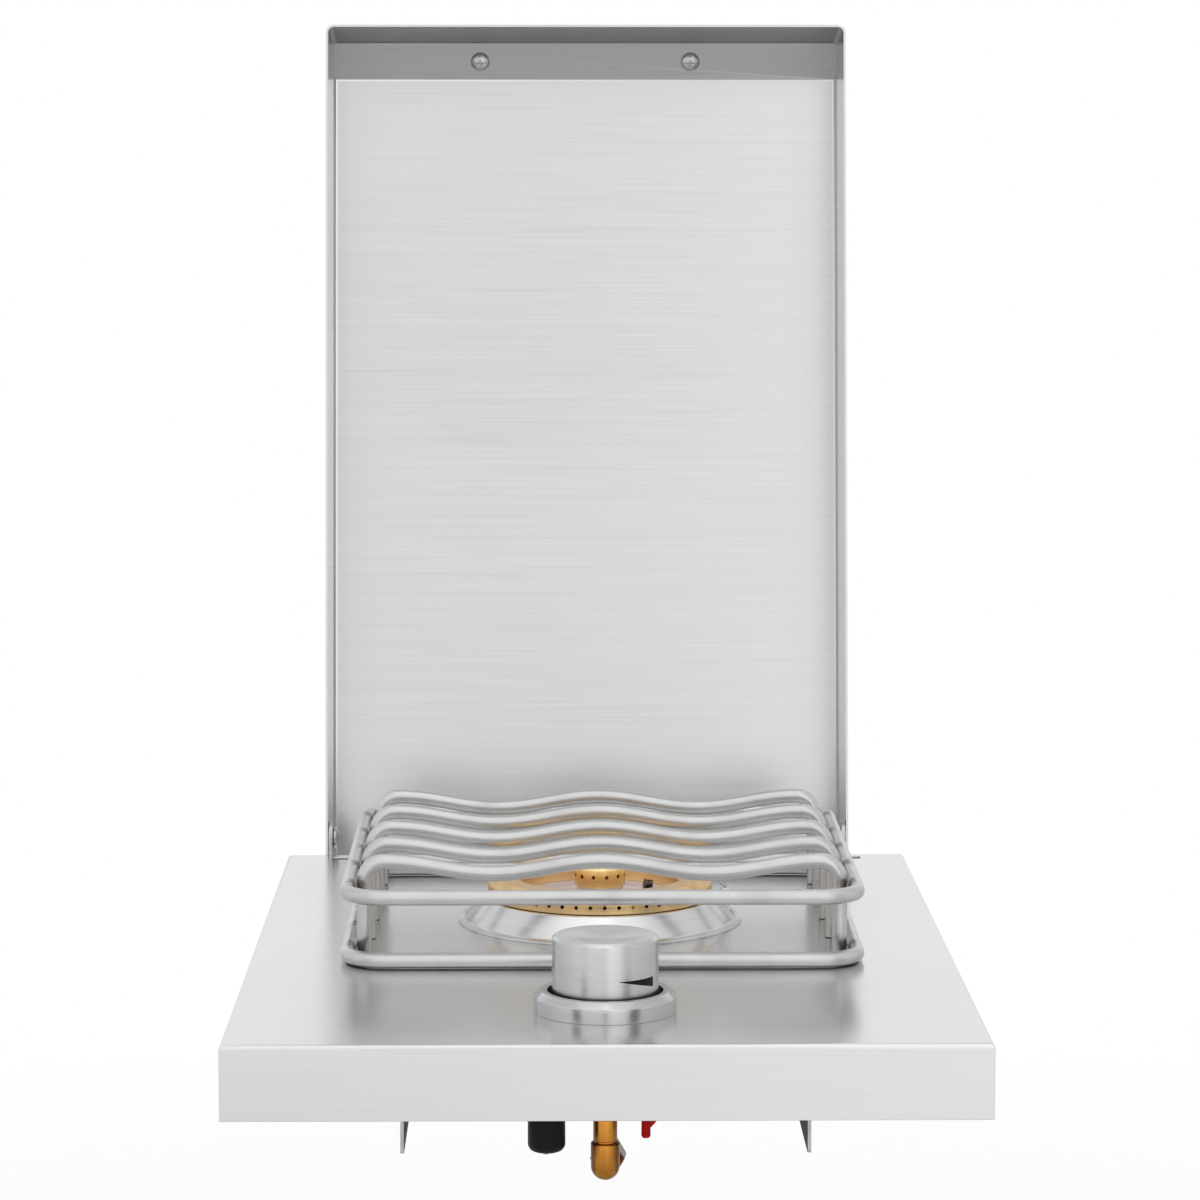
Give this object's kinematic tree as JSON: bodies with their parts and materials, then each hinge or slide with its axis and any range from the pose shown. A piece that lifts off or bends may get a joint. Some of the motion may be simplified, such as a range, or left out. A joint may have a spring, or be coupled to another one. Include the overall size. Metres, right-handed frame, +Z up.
{
  "type": "built in side burner",
  "caption": "Drop-in gas side burner: folded steel deck, hinged cover with bar handle, ring burner under a welded rod grate, push-and-turn knob and battery igniter.",
  "frame": {"origin": "middle of the front hem's flat underside, where the deck rests on the counter", "axes": "+X to the right seen from the knob side, +Y to the rear where the lid hinges, +Z up"},
  "size_m": [0.3174, 0.5957, 0.5002],
  "materials": {
    "deck_steel": "brushed across the width",
    "lid_steel": "brushed across the width",
    "grate_rod": "satin, tumbled",
    "collar_steel": "turned, bright",
    "bezel_steel": "turned, bright",
    "knob_steel": "turned, satin",
    "handle_steel": "polished along the bar",
    "fastener_steel": "zinc plated",
    "spring_steel": "drawn wire",
    "galvanised_steel": "galvanised, spangled",
    "cast_aluminium": "as cast, matt",
    "ring_brass": "turned, heat tinted",
    "cap_brass": "turned, heat tinted",
    "fitting_brass": "machined and forged",
    "black_plastic": "moulded, fine grain",
    "black_rubber": "matt",
    "lead_jacket": "silicone jacket",
    "red_sleeve": "soft sleeve",
    "ceramic": "glazed white",
    "battery_can": "plain unprinted can"
  },
  "bodies": {
    "base": {"deck": "deck_steel", "burner_pot": "cast_aluminium", "burner_plate": "cast_aluminium", "burner_hub": "cast_aluminium", "burner_screw_1": "fastener_steel", "burner_screw_2": "fastener_steel", "mixing_tube": "galvanised_steel", "gas_jet": "fitting_brass", "knob_bezel": "bezel_steel", "knob_seal": "black_rubber", "stem_spring": "spring_steel", "control_bracket": "galvanised_steel", "gas_valve": "fitting_brass", "valve_screw_1": "fastener_steel", "valve_screw_2": "fastener_steel", "inlet_elbow": "fitting_brass", "igniter_housing": "black_plastic", "trigger_switch": "black_plastic", "terminal_boot": "red_sleeve", "spark_lead": "lead_jacket", "trigger_lead": "lead_jacket", "electrode_ceramic": "ceramic", "electrode_tip": "spring_steel", "electrode_clip": "galvanised_steel", "hinge_bracket_left": "galvanised_steel", "hinge_bracket_right": "galvanised_steel", "hinge_pin_left": "fastener_steel", "hinge_pin_right": "fastener_steel", "hinge_screw_left": "fastener_steel", "hinge_screw_right": "fastener_steel", "lid_stop_left": "black_rubber", "lid_stop_right": "black_rubber"},
    "lid": {"lid_shell": "lid_steel", "lid_handle_bar": "handle_steel", "handle_post_left": "handle_steel", "handle_post_right": "handle_steel", "handle_screw_left": "fastener_steel", "handle_screw_right": "fastener_steel"},
    "grate": {"grate_lower_loop": "grate_rod", "grate_upper_loop": "grate_rod", "grate_bar_1": "grate_rod", "grate_bar_2": "grate_rod", "grate_bar_3": "grate_rod", "grate_bar_4": "grate_rod", "grate_bar_5": "grate_rod"},
    "collar": {"drip_collar": "collar_steel"},
    "ring": {"burner_ring": "ring_brass"},
    "cap": {"burner_cap": "cap_brass"},
    "push_stage": {"spring_washer": "fastener_steel"},
    "knob": {"knob_shell": "knob_steel", "knob_core": "black_plastic", "valve_stem": "fitting_brass"},
    "battery_cap": {"igniter_cap": "black_plastic", "battery": "battery_can", "battery_spring": "spring_steel"},
    "shutter": {"air_shutter": "galvanised_steel"},
    "nut": {"flare_nut": "fitting_brass"}
  },
  "joints": [
    {"name": "lid_hinge", "type": "hinge", "parent": "base", "child": "lid", "pos_m": [-0.0045, 0.446, 0.0388], "axis": [-1, 0, 0], "range_deg": [-98, 0]},
    {"name": "knob_push", "type": "slide", "parent": "base", "child": "push_stage", "axis": [0, 0, 1], "range_m": [-0.003, 0], "stiffness_N_per_m": 2500, "springref_m": 0.004, "deforming": ["stem_spring"]},
    {"name": "knob_turn", "type": "hinge", "parent": "push_stage", "child": "knob", "pos_m": [0, 0.061, 0.0318], "axis": [0, 0, 1], "range_deg": [0, 210]},
    {"name": "grate_lift", "type": "slide", "parent": "base", "child": "grate", "axis": [0, 0, 1], "range_m": [0, 0.06]},
    {"name": "collar_lift", "type": "slide", "parent": "base", "child": "collar", "axis": [0, 0, 1], "range_m": [0, 0.009]},
    {"name": "ring_lift", "type": "slide", "parent": "collar", "child": "ring", "axis": [0, 0, 1], "range_m": [0, 0.012]},
    {"name": "cap_lift", "type": "slide", "parent": "base", "child": "cap", "axis": [0, 0, 1], "range_m": [0, 0.01]},
    {"name": "igniter_cap_pull", "type": "slide", "parent": "base", "child": "battery_cap", "axis": [0, 0, -1], "range_m": [0, 0.06]},
    {"name": "shutter_turn", "type": "hinge", "parent": "base", "child": "shutter", "pos_m": [0, 0.1, -0.0062], "axis": [0, 1, 0], "range_deg": [-45, 45]},
    {"name": "flare_nut_turn", "type": "hinge", "parent": "base", "child": "nut", "pos_m": [0, 0.061, -0.0358], "axis": [0.0872, 0.9962, 0], "continuous": true}
  ]
}
